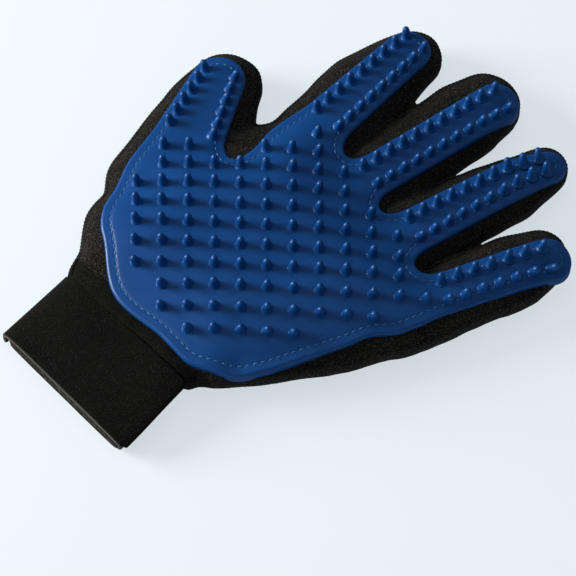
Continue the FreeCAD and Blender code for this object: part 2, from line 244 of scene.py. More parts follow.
def depth_inside(outline, points):
    """Signed distance of points to a convex outline, positive inside it."""
    start = outline
    span = np.roll(outline, -1, axis=0) - start
    keep = np.hypot(*span.T) > 1e-6
    start = start[keep]
    span = span[keep]
    length2 = (span ** 2).sum(axis=1)
    result = np.empty(len(points))
    for low in range(0, len(points), 20000):
        chunk = points[low:low + 20000, None, :] - start[None]
        share = np.clip((chunk * span).sum(axis=2) / length2, 0, 1)
        gap = np.hypot(*np.moveaxis(chunk - share[..., None] * span, 2, 0)).min(axis=1)
        cross = span[None, :, 0] * chunk[..., 1] - span[None, :, 1] * chunk[..., 0]
        inside = (cross >= -1e-9).all(axis=1)
        result[low:low + 20000] = np.where(inside, gap, -gap)
    return result


def digit_circles(digit, circles):
    """A digit's circles in the glove's frame, in counter-clockwise order round their hull."""
    placed = [(*digit.world(across, along), radius) for across, along, radius in circles]
    return placed + placed[-2:0:-1]


def circle_line(circles, along):
    """Middle and half width of a row of circles at places along a digit."""
    stations = [c[1] for c in circles]
    return (np.interp(along, stations, [c[0] for c in circles]),
            np.interp(along, stations, [c[2] for c in circles]))


def smooth_union(a, b, reach):
    blend = np.clip(reach - np.abs(a - b), 0, None) / reach
    return np.maximum(a, b) + blend * blend * reach / 4


PAD_OUTLINES = [hull_outline(PALM_PAD), hull_outline(HEEL_PAD)] + [
    hull_outline(digit_circles(d, PAD_CIRCLES[d.name]))
    for d in DIGITS.values()]


def pad_depth(points):
    """Distance inside the pad's edge, with rounded crotches between its parts."""
    points = np.asarray(points, float)
    depth = depth_inside(PAD_OUTLINES[0], points)
    for outline in PAD_OUTLINES[1:]:
        depth = smooth_union(depth, depth_inside(outline, points), CROTCH_BLEND)
    return depth


def pad_inward(points):
    """Unit direction in which the pad's depth grows, at each point."""
    step = 0.05
    dx = pad_depth(points + [step, 0]) - pad_depth(points - [step, 0])
    dy = pad_depth(points + [0, step]) - pad_depth(points - [0, step])
    slope = np.stack([dx, dy], axis=1)
    return slope / np.maximum(np.hypot(dx, dy), 1e-9)[:, None]


def chains(links):
    """Closed runs of keys in a table that lists each key's two neighbours."""
    loops = []
    unused = dict.fromkeys(sorted(links))
    while unused:
        loop = [next(iter(unused))]
        del unused[loop[0]]
        while True:
            onward = [k for k in links[loop[-1]] if k in unused]
            if not onward:
                break
            loop.append(onward[0])
            del unused[onward[0]]
        loops.append(loop)
    return loops


def section_loop(verts, faces, level):
    """The longest closed line in which a mesh crosses a height, in order."""
    links = {}
    spots = {}
    for face in faces:
        sides = []
        for a, b in zip(face, face[1:] + face[:1]):
            if (verts[a][2] > level) != (verts[b][2] > level):
                key = (min(a, b), max(a, b))
                share = (level - verts[key[0]][2]) / (verts[key[1]][2] - verts[key[0]][2])
                spots[key] = verts[key[0]] + (verts[key[1]] - verts[key[0]]) * share
                sides.append(key)
        if len(sides) == 2:
            links.setdefault(sides[0], []).append(sides[1])
            links.setdefault(sides[1], []).append(sides[0])
    return np.array([spots[k][:2] for k in max(chains(links), key=len)])


def trace_zero(field, low, high, step):
    """The longest closed line on which a field of the plane is zero, in order."""
    xs = np.arange(low[0], high[0] + step, step)
    ys = np.arange(low[1], high[1] + step, step)
    grid = np.stack(np.meshgrid(xs, ys, indexing="ij"), axis=-1).reshape(-1, 2)
    size = len(ys)
    faces = [(k, k + size, k + size + 1, k + 1)
             for i in range(len(xs) - 1) for k in range(i * size, i * size + size - 1)]
    return section_loop(np.column_stack([grid, field(grid) + 1e-7]), faces, 0.0)


def resample(loop, spacing):
    """Points at even spacing along a closed line."""
    closed = np.vstack([loop, loop[:1]])
    lengths = np.hypot(*np.diff(closed, axis=0).T)
    run = np.concatenate([[0], np.cumsum(lengths)])
    count = int(run[-1] / spacing)
    at = np.arange(count) * run[-1] / count
    return np.stack([np.interp(at, run, closed[:, k]) for k in (0, 1)], axis=1)


def signed_area(loop):
    """Twice the area inside a closed line, negative when it runs clockwise."""
    return np.sum(loop[:, 0] * np.roll(loop[:, 1], -1) - loop[:, 1] * np.roll(loop[:, 0], -1))


# ---- small mesh tools --------------------------------------------
def new_object(name, verts, faces):
    """Smooth-shaded object from vertices in millimetres."""
    mesh = bpy.data.meshes.new(name)
    mesh.from_pydata([tuple(np.asarray(v) * MM) for v in verts], [],
                     [tuple(map(int, f)) for f in faces])
    mesh.validate()
    obj = bpy.data.objects.new(name, mesh)
    bpy.context.scene.collection.objects.link(obj)
    mesh.shade_smooth()
    return obj


def mesh_arrays(obj):
    """Vertices in millimetres, and faces, of an object's mesh."""
    co = np.empty(len(obj.data.vertices) * 3)
    obj.data.vertices.foreach_get("co", co)
    return co.reshape(-1, 3) / MM, [tuple(p.vertices) for p in obj.data.polygons]


def vertex_normals(obj):
    normals = np.empty(len(obj.data.vertices) * 3)
    obj.data.vertex_normals.foreach_get("vector", normals)
    return normals.reshape(-1, 3)


def whole_normals(verts, faces):
    """Vertex normals of a whole mesh, with which its pieces are shaded."""
    whole = new_object("whole", verts, faces)
    normals = vertex_normals(whole)
    bpy.data.objects.remove(whole)
    return normals


def ring_faces(rings, size):
    """Faces between neighbouring rings of equal size."""
    return [(k * size + i, k * size + (i + 1) % size, (k + 1) * size + (i + 1) % size, (k + 1) * size + i)
            for k in range(rings - 1) for i in range(size)]


def closed_tube(verts, size):
    """A tube through rings of equal size, closed at both ends."""
    ends = [tuple(range(size))[::-1], tuple(range(len(verts) - size, len(verts)))]
    return verts, ring_faces(len(verts) // size, size) + ends


def join_forms(forms):
    """One list of vertices and one of faces for several forms."""
    verts = []
    faces = []
    for form_verts, form_faces in forms:
        base = len(verts)
        verts += form_verts
        faces += [tuple(base + v for v in f) for f in form_faces]
    return verts, faces


def apply_modifiers(obj):
    """Replace the object's mesh by its modified mesh."""
    bpy.context.view_layer.update()
    graph = bpy.context.evaluated_depsgraph_get()
    mesh = bpy.data.meshes.new_from_object(obj.evaluated_get(graph))
    obj.modifiers.clear()
    old = obj.data
    obj.data = mesh
    bpy.data.meshes.remove(old)


def keep_rest_position(obj):
    """Store where each vertex lies at rest, so that textures move with the piece."""
    mesh = obj.data
    rest = mesh.attributes.new("rest", "FLOAT_VECTOR", "POINT")
    co = np.empty(len(mesh.vertices) * 3)
    mesh.vertices.foreach_get("co", co)
    rest.data.foreach_set("vector", co)


def sub_mesh(name, verts, faces, normals, chosen, tucked=()):
    """Object made of some faces, shaded with the whole mesh's normals. Tucked faces lie inside."""
    used = sorted({v for f in chosen for v in faces[f]})
    index = {v: i for i, v in enumerate(used)}
    part_faces = [[index[v] for v in faces[f]] for f in chosen]
    below = sorted({v for f in tucked for v in faces[f]})
    index = {v: i for i, v in enumerate(below, len(used))}
    part_faces += [[index[v] for v in faces[f]] for f in tucked]
    shift = TUCK_DEPTH * normals[below]
    obj = new_object(name, np.vstack([verts[used], verts[below] - shift]), part_faces)
    obj.data.normals_split_custom_set_from_vertices([tuple(n) for n in normals[used + below]])
    return obj


# ---- the knit shell ----------------------------------------------
def pillow(circles, reach, rings=9):
    """Closed rounded form over a hull of circles, flatter below than above."""
    verts = []
    for k in range(rings + 1):
        angle = -math.pi / 2 + math.pi * k / rings
        lift = math.sin(angle)
        if lift > 0:
            height = SHELL_MID + SHELL_TOP * lift ** 0.9
            inset = reach * (1 - math.cos(angle) ** 0.85)
        else:
            height = SHELL_MID - SHELL_BOTTOM * (-lift) ** 0.8
            inset = reach * (1 - math.cos(angle) ** 0.72)
        verts += [(x, y, height) for x, y in hull_outline(circles, 2.0, inset)]
    return closed_tube(verts, len(verts) // (rings + 1))


def neck_form(count=48):
    """Flattened tube from inside the palm to inside the cuff."""
    verts = []
    for along, half_width, bottom, top in NECK_STATIONS:
        half_height = (top - bottom) / 2
        for i in range(count):
            angle = 2 * math.pi * i / count
            c, s = math.cos(angle), math.sin(angle)
            x = CUFF_MIDDLE + half_width * math.copysign(abs(c) ** 0.5, c)
            z = bottom + half_height * (1 + math.copysign(abs(s) ** 0.8, s))
            verts.append(wrist_point(x, along, z))
    return closed_tube(verts, count)


def shell_form():
    """One mesh of palm, digits and neck, remeshed and inflated."""
    forms = [pillow(PALM_SHELL, PALM_REACH), neck_form()]
    for digit in DIGITS.values():
        forms.append(pillow(digit_circles(digit, SHELL_CIRCLES[digit.name]), DIGIT_REACH))
    shell = new_object("shell", *join_forms(forms))
    remesh = shell.modifiers.new("remesh", "REMESH")
    remesh.mode = "VOXEL"
    remesh.voxel_size = VOXEL * MM
    remesh.use_smooth_shade = True
    smooth = shell.modifiers.new("smooth", "SMOOTH")
    smooth.factor = 0.5
    smooth.iterations = 6
    apply_modifiers(shell)
    crown_palm(shell)
    return shell


def crown_palm(shell):
    """Swell the palm side gently towards the middle of the palm and let the cloth wander a little."""
    verts, _ = mesh_arrays(shell)
    depth = depth_inside(hull_outline(PALM_SHELL), verts[:, :2])
    share = np.clip(depth / CROWN_REACH, 0, 1)
    swell = PALM_CROWN * share * share * (3 - 2 * share)
    upper = np.clip((verts[:, 2] - SHELL_MID) / 6, 0, 1)
    normals = vertex_normals(shell)
    covered = np.clip(pad_depth(verts[:, :2]) / 3, 0, 1) * upper
    wander = np.array([noise.noise(Vector(v) * WRINKLE_SCALE)
                       + 0.5 * noise.noise(Vector(v) * WRINKLE_SCALE * 2.3) for v in verts])
    verts[:, 2] += swell * upper
    verts += normals * (wander * WRINKLE_DEPTH * (1 - covered))[:, None]
    verts[:, 2] = np.maximum(verts[:, 2], GROUND_GAP)
    shell.data.vertices.foreach_set("co", (verts * MM).ravel())
    shell.data.update()


def seam_ridge(verts, faces):
    """Raised overlock seam that joins the palm side to the back, all round the hand."""
    line = resample(section_loop(verts, faces, SEAM_LEVEL), SEAM_STEP)
    ahead = np.roll(line, -3, axis=0) - np.roll(line, 3, axis=0)
    out = np.stack([ahead[:, 1], -ahead[:, 0]], axis=1) / np.hypot(*ahead.T)[:, None]
    area = signed_area(line)
    if area < 0:
        out = -out
    ridge_verts = []
    for k, (spot, side) in enumerate(zip(line, out)):
        swell = 1.0 if k % 2 else 0.72
        for rise, push in SEAM_PROFILE:
            place = spot + side * push * swell
            ridge_verts.append((*place, SEAM_LEVEL + rise))
    size = len(SEAM_PROFILE)
    count = len(line)
    ridge_faces = []
    for k in range(count):
        n = (k + 1) % count
        for i in range(size - 1):
            quad = (k * size + i, n * size + i, n * size + i + 1, k * size + i + 1)
            ridge_faces.append(quad if area > 0 else quad[::-1])
    return ridge_verts, ridge_faces


def digits_near_points(points):
    """Number of each point's digit or -1, its piece there, and its depth inside every digit."""
    points = np.asarray(points)
    depths = []
    alongs = []
    for digit in DIGITS.values():
        across, along = digit.local(points)
        circles = SHELL_CIRCLES[digit.name]
        middle, radius = circle_line(circles, along)
        depth = radius - np.hypot(across - middle, np.clip(along - circles[-1][1], 0, None))
        if digit.name == "thumb":
            depth = np.where(across > 0, depth - THUMB_WEB_MARGIN, depth)
        depths.append(np.where(along > PIECE_START, depth, -1e3))
        alongs.append(along)
    depths = np.array(depths)
    owner = depths.argmax(axis=0)
    part = np.zeros(len(points), int)
    for number, digit in enumerate(DIGITS.values()):
        cuts = digit.cuts()
        mine = owner == number
        part[mine] = np.clip(np.searchsorted(cuts, alongs[number][mine]) - 1, 0, len(cuts) - 2)
    owner[depths.max(axis=0) < -OWNER_MARGIN] = -1
    return owner, part, depths


def face_centres(verts, faces):
    return np.array([verts[list(f)].mean(axis=0) for f in faces])


def ride_digit_piece(obj, digit, part):
    """Bake a digit's piece where it lies; the span round its crease is worked out but not used."""
    crease = digit.creases[part]
    first = BLEND_START if part == 0 else crease - BLEND_HALF
    last = BLEND_END if part == 0 else crease + BLEND_HALF
    start = digit.world(0, first)
    end = digit.world(0, last)
    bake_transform(obj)


def dress(obj, material, nodes=()):
    """Give a finished piece its rest position and material, and hide the nodes it stands for."""
    keep_rest_position(obj)
    obj.data.materials.append(material)
    if nodes:
        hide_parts(*nodes)


def split_and_ride(stem, verts, faces, normals, places, material, palm_nodes, digit_nodes,
                   cloth_faces=0):
    """Divide a mesh of the whole hand into pieces, one for each body; only the palm's piece is attached to
    its body.

    A face goes with its place. The first faces may be cloth, and then the first piece of each
    digit also carries its neighbours' nearby cloth, tucked in, as a seam allowance.
    """
    owner, part, depths = digits_near_points(places)
    owner_depth = np.where(owner < 0, -OWNER_MARGIN, depths.max(axis=0))
    allowance = np.where(owner < 0, PALM_ALLOWANCE, WEB_ALLOWANCE)
    least = np.where(owner < 0, -OWNER_MARGIN - PALM_ALLOWANCE, WEB_LEAST_DEPTH)
    cloth = np.arange(len(faces)) < cloth_faces
    groups = [("palm", None, 0, owner < 0, (), palm_nodes)]
    for number, digit in enumerate(DIGITS.values()):
        near = cloth & (owner != number) & (depths[number] > np.maximum(owner_depth - allowance, least))
        for k, body in enumerate(digit.bodies[1:]):
            groups.append((body, digit, k, (owner == number) & (part == k),
                           () if k else np.flatnonzero(near), [f"{body}_{node}" for node in digit_nodes]))
    for body, digit, k, chosen, tucked, nodes in groups:
        if not chosen.any():
            continue
        piece = sub_mesh(f"{stem}_{body}", verts, faces, normals, np.flatnonzero(chosen), tucked)
        dress(piece, material, nodes)
        if digit:
            ride_digit_piece(piece, digit, k)
        else:
            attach(piece, body)


class Surface:
    """Height and slope of a mesh seen from above."""

    def __init__(self, verts, faces):
        self.tree = BVHTree.FromPolygons([tuple(v) for v in verts], faces)

    def height(self, x, y, missing=SHELL_MID):
        hit = self.tree.ray_cast(Vector((x, y, 100)), Vector((0, 0, -1)))[0]
        return hit.z if hit else missing

    def heights(self, points):
        return np.array([self.height(x, y) for x, y in points])

    def mean_heights(self, points):
        """Heights averaged over a ring of places round each point."""
        total = 2 * self.heights(points)
        for k in range(8):
            angle = math.pi * k / 4
            total += self.heights(points + SEAT_REACH * np.array([math.cos(angle), math.sin(angle)]))
        return total / 10

    def normal(self, x, y, reach=2.5):
        dx = self.height(x + reach, y) - self.height(x - reach, y)
        dy = self.height(x, y + reach) - self.height(x, y - reach)
        return Vector((-dx, -dy, 2 * reach)).normalized()


# ---- the rubber pad ----------------------------------------------
# Edge profile as (distance in from the edge, height over the knit): wall, bead, stitch groove.
PAD_PROFILE = ((0.0, -0.5), (0.0, 0.9), (0.12, 1.45), (0.45, 1.8), (0.95, 1.94), (1.5, 1.88),
               (2.1, 1.78), (2.9, 1.74), (3.35, 1.7), (3.7, 1.54), (4.05, 1.54), (4.4, 1.68),
               (5.2, 1.7))
PAD_INSET, PAD_FLAT = PAD_PROFILE[-1]
PAD_UNDER = -0.5
EDGE_FALL = 0.26                        # fall of the pad from its flat part to its edge
SEAT_REACH = 4.5                        # the pad follows the knit's height averaged this far round
EDGE_WALL = 2.8                         # the pad's rim is never taller than this
PLAN_LOW, PLAN_HIGH = (-95.0, -5.0), (105.0, 195.0)    # the pad lies inside this part of the plan
OUTLINE_SPACING = 0.9
INNER_SPACING = 2.0
STITCH_LINE = 3.88
STITCH_PITCH = 3.1
STITCH_LENGTH = 2.25


def pad_outline():
    loop = resample(trace_zero(pad_depth, PLAN_LOW, PLAN_HIGH, 1.0), OUTLINE_SPACING)
    if signed_area(loop) < 0:
        loop = loop[::-1]
    for _ in range(3):
        loop = loop - pad_inward(loop) * pad_depth(loop)[:, None]
    return loop


def inward_ring(loop, distance):
    """The outline moved inwards along the depth's slope, in short steps."""
    ring = loop.copy()
    steps = max(1, int(distance / 0.6))
    for _ in range(steps):
        ring = ring + pad_inward(ring) * distance / steps
    return ring


def pad_mesh(outline, ground):
    """Vertices and faces of the whole pad, with its edge bead and stitch groove."""
    rings = []
    distance = 0.0
    ring = outline
    for inset, height in PAD_PROFILE:
        if inset > distance:
            ring = inward_ring(ring, inset - distance)
            distance = inset
        rings.append((ring, height))
    count = len(outline)
    verts = []
    sunk = []
    flat_level = ground.mean_heights(ring)
    for (ring, height), (inset, _) in zip(rings, PAD_PROFILE):
        local = ground.heights(ring)
        seat = flat_level - EDGE_FALL * (PAD_INSET - inset)
        under = np.maximum(local + PAD_UNDER, seat - EDGE_WALL)
        level = under if not verts else seat + height
        verts += [(x, y, z) for (x, y), z in zip(ring, level)]
        sunk += [(x, y, z) for (x, y), z in zip(ring, under)]
    faces = ring_faces(len(rings), count)
    xs = np.arange(PLAN_LOW[0], PLAN_HIGH[0], INNER_SPACING)
    ys = np.arange(PLAN_LOW[1], PLAN_HIGH[1], INNER_SPACING * 0.87)
    grid = np.array([(x + (k % 2) * INNER_SPACING / 2, y) for k, y in enumerate(ys) for x in xs])
    inner = grid[pad_depth(grid) > PAD_INSET + INNER_SPACING * 0.6]
    last = rings[-1][0]
    base = (len(rings) - 1) * count
    spots = [Vector(p) for p in np.vstack([last, inner])]
    edges = [(i, (i + 1) % count) for i in range(count)]
    _, _, tris, _, _, _ = delaunay_2d_cdt(spots, edges, [], 1, 1e-6)
    first_inner = len(verts)
    level = ground.mean_heights(inner)
    verts += [(x, y, z + PAD_FLAT) for (x, y), z in zip(inner, level)]
    sunk += [(x, y, z + PAD_UNDER) for (x, y), z in zip(inner, ground.heights(inner))]

    def index(i):
        return base + i if i < count else first_inner + i - count

    faces += [tuple(index(i) for i in tri) for tri in tris]
    # The underside repeats the rings and the middle, sunk just into the knit.
    under = len(verts)
    verts += sunk
    faces += [tuple(under + v for v in f[::-1]) for f in faces[count:]]
    # The wall is not repeated: the underside starts at the first ring.
    swap = {under + count + i: i for i in range(count)}
    faces = [tuple(swap.get(v, v) for v in f) for f in faces]
    return compact(np.array(verts), faces)


def compact(verts, faces):
    """Drop vertices that no face uses."""
    used = sorted({v for f in faces for v in f})
    index = {v: i for i, v in enumerate(used)}
    return verts[used], [tuple(index[v] for v in f) for f in faces]


# ---- nubs --------------------------------------------------------
NUB_PROFILE = ((2.9, -0.4), (2.3, 0.1), (1.98, 0.6), (1.82, 1.3), (1.7, 2.4), (1.6, 3.4),
               (1.5, 4.2), (1.3, 4.95), (0.95, 5.5), (0.5, 5.86))
NUB_SIDES = 14


def nub_form(base, axis):
    """One nub standing on a point along an axis."""
    turn = axis.to_track_quat("Z", "X").to_matrix()
    verts = []
    for radius, height in NUB_PROFILE:
        for i in range(NUB_SIDES):
            angle = 2 * math.pi * i / NUB_SIDES
            offset = turn @ Vector((radius * math.cos(angle), radius * math.sin(angle), height))
            verts.append(tuple(Vector(base) + offset))
    verts.append(tuple(Vector(base) + turn @ Vector((0, 0, NUB_HEIGHT))))
    faces = ring_faces(len(NUB_PROFILE), NUB_SIDES)
    rim = (len(NUB_PROFILE) - 1) * NUB_SIDES
    for i in range(NUB_SIDES):
        faces.append((rim + i, rim + (i + 1) % NUB_SIDES, len(verts) - 1))
    faces.append(tuple(range(NUB_SIDES))[::-1])
    return verts, faces


def nub_places():
    """Plan positions and sideways leans of all nubs: two rows on each digit, a lattice on the palm."""
    rows = []
    leans = []
    for digit in DIGITS.values():
        last, pitch, count = DIGIT_NUBS[digit.name]
        first_lean, full_lean, lean = NUB_LEAN.get(digit.name, (0.0, 1.0, 0.0))
        for k in range(count):
            along = last - k * pitch
            middle, radius = circle_line(PAD_CIRCLES[digit.name], along)
            tilt = np.interp(along, (first_lean, full_lean), (0.0, lean))
            for side in (-1, 1):
                across = middle + side * max(radius - NUB_ROW_INSET, NUB_ROW_LEAST)
                rows.append(digit.world(across, along))
                leans.append(-digit.across * tilt)
    steps = np.array(PALM_NUB_STEPS)
    lattice = np.array([steps[0] * i + steps[1] * j + PALM_NUB_ORIGIN
                        for i in range(-PALM_NUB_RANGE, PALM_NUB_RANGE + 1)
                        for j in range(-PALM_NUB_RANGE, PALM_LAST_ROW + 1)
                        if (i, j) not in PALM_NUB_GAPS])
    keep = pad_depth(lattice) > NUB_EDGE_ROOM
    for row in rows:
        keep &= np.hypot(*(lattice - row).T) > NUB_ROW_ROOM
    for digit in DIGITS.values():
        across, along = digit.local(lattice)
        last, pitch, count = DIGIT_NUBS[digit.name]
        zone_start = last - (count - 1) * pitch + NUB_ZONE_START
        keep &= ~((np.abs(across) < NUB_ZONE) & (along > zone_start))
    places = np.vstack([np.array(rows), lattice[keep]])
    leans = np.vstack([np.array(leans), np.zeros((int(keep.sum()), 2))])
    return zip(places, leans)


def add_forms(verts, faces, anchors, forms):
    """Append small forms to a mesh; all faces of a form share one anchor point."""
    verts = [tuple(v) for v in verts]
    faces = list(faces)
    anchors = [tuple(a) for a in anchors]
    for (form_verts, form_faces), anchor in forms:
        base = len(verts)
        verts += form_verts
        faces += [tuple(base + v for v in f) for f in form_faces]
        anchors += [anchor] * len(form_faces)
    return np.array(verts), faces, np.array(anchors)


def nub_forms(surface):
    forms = []
    for (x, y), lean in nub_places():
        height = surface.height(x, y)
        axis = surface.normal(x, y)
        wobble = Vector((RNG.uniform(-NUB_WOBBLE, NUB_WOBBLE), RNG.uniform(-NUB_WOBBLE, NUB_WOBBLE), 0))
        axis = (axis + wobble + Vector((lean[0], lean[1], 0))).normalized()
        forms.append((nub_form((x, y, height), axis), (x, y, height)))
    return forms


# ---- stitches ----------------------------------------------------
def stitch_form(start, end, radius=0.27, sink=0.5, sides=6, steps=6):
    """One lockstitch: a short thread whose ends dive into the pad."""
    start = Vector(start)
    end = Vector(end)
    along = (end - start).normalized()
    side = along.cross(Vector((0, 0, 1))).normalized()
    up = side.cross(along)
    verts = []
    for k in range(steps + 1):
        share = k / steps
        dip = sink * (2 * share - 1) ** 4
        thick = radius * (1.0 - 0.45 * (2 * share - 1) ** 4)
        centre = start.lerp(end, share) - up * dip
        for i in range(sides):
            angle = 2 * math.pi * i / sides
            verts.append(tuple(centre + side * thick * math.cos(angle) + up * thick * math.sin(angle)))
    faces = ring_faces(steps + 1, sides)
    faces.append(tuple(range(sides)))
    faces.append(tuple(range(steps * sides, (steps + 1) * sides))[::-1])
    return verts, faces


def stitch_run(line, surface, lift=0.12):
    """Stitches at even pitch along a closed plan line, laid on a surface."""
    points = resample(line, STITCH_PITCH)
    forms = []
    for a, b in zip(points, np.roll(points, -1, axis=0)):
        middle = (a + b) / 2
        half = (b - a) / np.hypot(*(b - a)) * STITCH_LENGTH / 2
        p = middle - half
        q = middle + half
        start = (*p, surface.height(*p) + lift)
        end = (*q, surface.height(*q) + lift)
        forms.append((stitch_form(start, end), (*middle, start[2])))
    return forms


# ---- cuff and strap ----------------------------------------------
CUFF_LENGTH = 35.6
CUFF_START = 1.0
CUFF_HALF_WIDTHS = (31.8, 32.7)          # at the wrist and at the mouth
CUFF_HEIGHTS = (13.3, 7.8)
KNIT_WALL = 1.5
HEM_WALL = 1.1
STRAP_START = -1.0                       # the strap's edges, along the cuff
STRAP_STOP = -36.4
STRAP_WALL = 1.9
STRAP_CLEARANCE = 1.05                   # room for the hook and loop patches
STRAP_OVERHANG = 4.6                     # how far the strap's section outreaches the cuff's at its free end
STRAP_LEFT = 196.0                       # where the strap is sewn on, round the cuff's section in degrees
STRAP_RIGHT_X = 31.3
MOUTH_SLANT = 0.00067                    # the cuff grows longer towards its right side
STRAP_SPLIT_X = -15.0
STRAP_CORNER = 1.6                       # radius of the free end's corners
STRAP_GRID = (76, 40)                    # points round and along the strap
CUFF_GRID = (170, 34)                    # and the cuff
PATCH_GRID = (30, 26)                    # and each patch
CUFF_HALF_WAY = -20.0                    # where its section is measured
BAND_EDGE = 0.72                         # thickness of a band's edge, as a share
HEM_START = 6.0                          # the hem's band starts this far before the mouth
HEM_PROUD = 0.7                          # and stands out of it by this
HEM_GAP = 0.1
HEM_ROWS = 8
PATCH_WALLS = (0.45, 0.5)                # of the loop and the hook patch
PATCH_LIFT = 0.02
PATCH_X = (5.0, 30.0)
PATCH_Y = (-6.5, -32.0)


def cuff_section(angle, along, out, overhang=0.0):
    """Point of the flattened cuff's section, out millimetres outside its surface."""
    share = min(max(-along / CUFF_LENGTH, 0.0), 1.0)
    height = CUFF_HEIGHTS[0] + (CUFF_HEIGHTS[1] - CUFF_HEIGHTS[0]) * share ** 0.9
    half_width = CUFF_HALF_WIDTHS[0] + (CUFF_HALF_WIDTHS[1] - CUFF_HALF_WIDTHS[0]) * share + out
    c = math.cos(angle)
    s = math.sin(angle)
    if c > 0:
        half_width += overhang
    x = CUFF_MIDDLE + half_width * math.copysign(abs(c) ** 0.42, c)
    z = 0.4 + height / 2 + (height / 2 + out) * math.copysign(abs(s) ** 0.62, s)
    wave = 0.4 * math.sin(x * 0.12 + 1.0) * math.sin(along * 0.19 + 0.6) * max(s, 0)
    return x, max(z + wave, GROUND_GAP)


def cuff_point(x, along, z):
    return wrist_point(x, along * (1 + MOUTH_SLANT * x), z)


def section_angles(start, end, count, overhang=0.0):
    """Angles whose points are evenly spaced along the cuff's section."""
    dense = np.linspace(start, end, 721)
    points = np.array([cuff_section(a, CUFF_HALF_WAY, 0.0, overhang) for a in dense])
    run = np.concatenate([[0], np.cumsum(np.hypot(*np.diff(points, axis=0).T))])
    return list(np.interp(np.linspace(0, run[-1], count), run, dense))


def angle_at(x, overhang=0.0):
    """Angle of the cuff's upper section at a place across it."""
    dense = np.linspace(0.0, math.pi, 1801)
    return min(dense, key=lambda a: abs(cuff_section(a, CUFF_HALF_WAY, 0.0, overhang)[0] - x))


def swept_loops(loops, closed):
    """Faces of a tube through loops of equal size, with flat ends unless it is closed."""
    verts = [v for loop in loops for v in loop]
    size = len(loops[0])
    faces = []
    for k in range(len(loops) if closed else len(loops) - 1):
        n = (k + 1) % len(loops)
        for i in range(size):
            j = (i + 1) % size
            faces.append((k * size + i, n * size + i, n * size + j, k * size + j))
    if not closed:
        last = (len(loops) - 1) * size
        for i in range(size // 2):
            a, b = i, size - 1 - i
            if b - a > 1:
                faces.append((a, a + 1, b - 1, b))
                faces.append((last + a, last + b, last + b - 1, last + a + 1))
    return np.array(verts), faces


def band_profile(start, stop, wall, rows):
    """Loop of (along, level) round a flat band with softly rounded edges."""
    rim = wall * 0.3
    inner = np.linspace(start - rim, stop + rim, rows)
    top = [(start, wall * BAND_EDGE)] + [(a, wall) for a in inner] + [(stop, wall * BAND_EDGE)]
    return top + [(along, wall - level) for along, level in reversed(top)]


def strap_band(angles, out, wall, rows, start, stop, overhang=0.0, corner=0.0):
    """Flat band laid over the cuff's section; its last end may have rounded corners."""
    loops = []
    centre = (start + stop) / 2
    half = abs(start - stop) / 2
    x_end = cuff_section(angles[-1], centre, out, overhang)[0]
    for k, angle in enumerate(angles):
        thin = BAND_EDGE if k in (0, len(angles) - 1) else 1.0
        loop = []
        for along, level in band_profile(start, stop, wall, rows):
            level = wall / 2 + (level - wall / 2) * thin
            x, z = cuff_section(angle, along, out + level, overhang)
            reach = x - (x_end - corner)
            if corner and reach > 0:
                pull = corner - math.sqrt(max(corner * corner - min(reach, corner) ** 2, 0.0))
                along = centre + (along - centre) * (half - pull) / half
            loop.append(cuff_point(x, along, z))
        loops.append(loop)
    return swept_loops(loops, False)


def cuff_tube(inner, outer, start, stop, rows):
    """Closed ring of cloth between two offsets of the cuff's section."""
    loops = []
    for angle in section_angles(0, 2 * math.pi, CUFF_GRID[0] + 1)[:-1]:
        loop = []
        for along, level in band_profile(start, stop, outer - inner, rows):
            x, z = cuff_section(angle, along, inner + level)
            loop.append(cuff_point(x, along, z))
        loops.append(loop)
    return swept_loops(loops, True)


# ---- materials ---------------------------------------------------
class Nodes:
    """Small helper to build a material's node tree."""

    def __init__(self, name):
        self.material = bpy.data.materials.new(name)
        self.material.use_nodes = True
        self.tree = self.material.node_tree
        self.shader = self.tree.nodes["Principled BSDF"]
        attribute = self.add("ShaderNodeAttribute")
        attribute.attribute_name = "rest"
        self.rest = attribute.outputs["Vector"]

    def add(self, kind, **settings):
        node = self.tree.nodes.new(kind)
        for key, value in settings.items():
            setattr(node, key, value)
        return node

    def feed(self, node, **inputs):
        """Give a node's inputs numbers, colours or other nodes' outputs."""
        for name, item in inputs.items():
            self.plug(node.inputs[name.replace("_", " ")], item)

    def plug(self, socket, item):
        if isinstance(item, (int, float)):
            socket.default_value = item
        elif isinstance(item, tuple):
            socket.default_value = (*item, 1)
        else:
            self.tree.links.new(item, socket)

    def noise(self, scale, detail=3.0, roughness=0.5):
        node = self.add("ShaderNodeTexNoise")
        self.feed(node, Scale=scale, Detail=detail, Roughness=roughness, Vector=self.rest)
        return node.outputs["Fac"]

    def cells(self, scale, randomness):
        node = self.add("ShaderNodeTexVoronoi")
        self.feed(node, Scale=scale, Randomness=randomness, Vector=self.rest)
        return node.outputs["Distance"]

    def ramp(self, source, stops):
        node = self.add("ShaderNodeValToRGB")
        ramp = node.color_ramp
        while len(ramp.elements) < len(stops):
            ramp.elements.new(0.5)
        for element, (place, color) in zip(ramp.elements, stops):
            element.position = place
            element.color = (*color, 1)
        self.feed(node, Fac=source)
        return node.outputs["Color"]

    def math(self, operation, a, b):
        node = self.add("ShaderNodeMath", operation=operation)
        for socket, item in zip(node.inputs, (a, b)):
            self.plug(socket, item)
        return node.outputs["Value"]

    def mix(self, share, a, b, mode="MIX"):
        node = self.add("ShaderNodeMix", data_type="RGBA", blend_type=mode)
        sockets = [s for s in node.inputs if s.enabled]
        for socket, item in zip(sockets, (share, a, b)):
            self.plug(socket, item)
        return [s for s in node.outputs if s.enabled][0]

    def bump(self, height, strength, distance):
        node = self.add("ShaderNodeBump")
        self.feed(node, Strength=strength, Distance=distance * MM, Height=height)
        return node.outputs["Normal"]

    def finish(self, color, normal, roughness, **inputs):
        self.feed(self.shader, Base_Color=color, Normal=normal, Roughness=roughness, **inputs)
        return self.material


